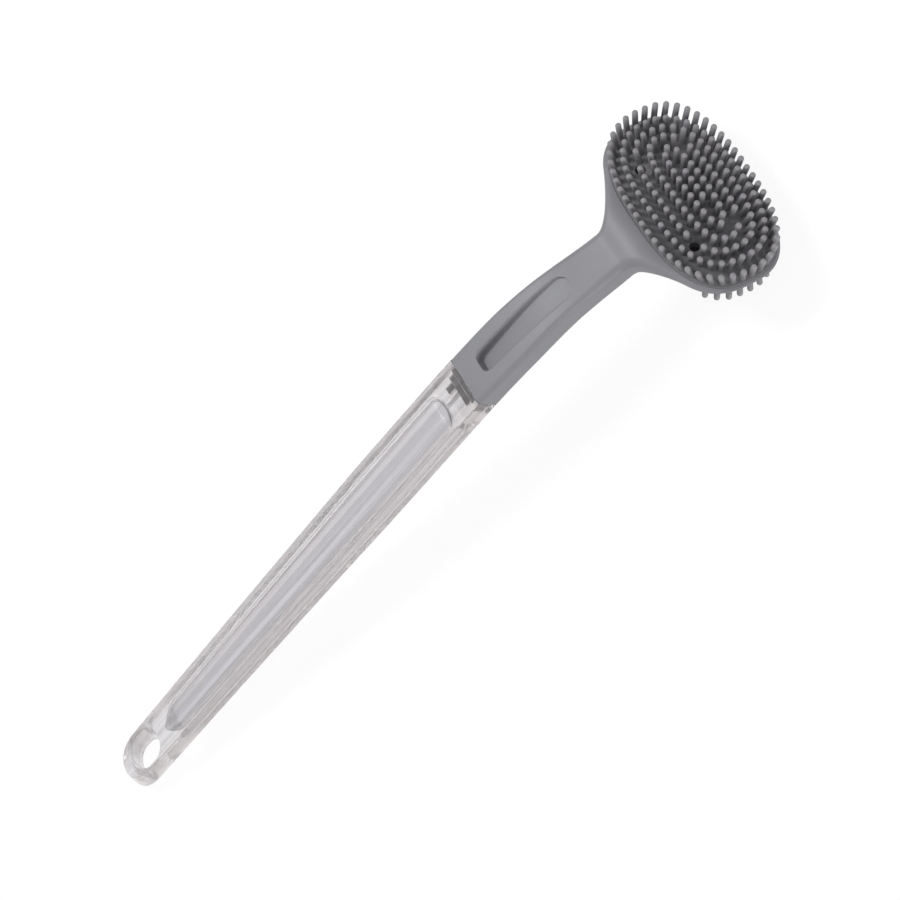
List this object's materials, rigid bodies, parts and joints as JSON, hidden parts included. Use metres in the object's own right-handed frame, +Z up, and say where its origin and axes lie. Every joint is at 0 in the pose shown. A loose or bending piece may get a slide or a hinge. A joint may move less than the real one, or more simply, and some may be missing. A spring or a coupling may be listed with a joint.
{
  "type": "toilet brush",
  "caption": "Toilet brush with a clear hollow handle and hanging eye, a bent grey neck, and an oval head with soft bristles on both sides.",
  "frame": {"origin": "middle of the bounding box's footprint, on the floor the brush lies on", "axes": "+Y from the hanging eye towards the head, +X across the brush, +Z up; the brush lies on the back of its handle's tip and its lowest back bristles"},
  "size_m": [0.0828, 0.3826, 0.0474],
  "materials": {
    "clear_plastic": "polished clear plastic",
    "grey_plastic": "fine matte moulding",
    "soft_grey": "matte soft plastic"
  },
  "bodies": {
    "root": {"handle": "clear_plastic", "neck_and_head_core": "grey_plastic", "front_bristle_pad": "soft_grey", "back_bristle_pad": "soft_grey"}
  },
  "joints": []
}
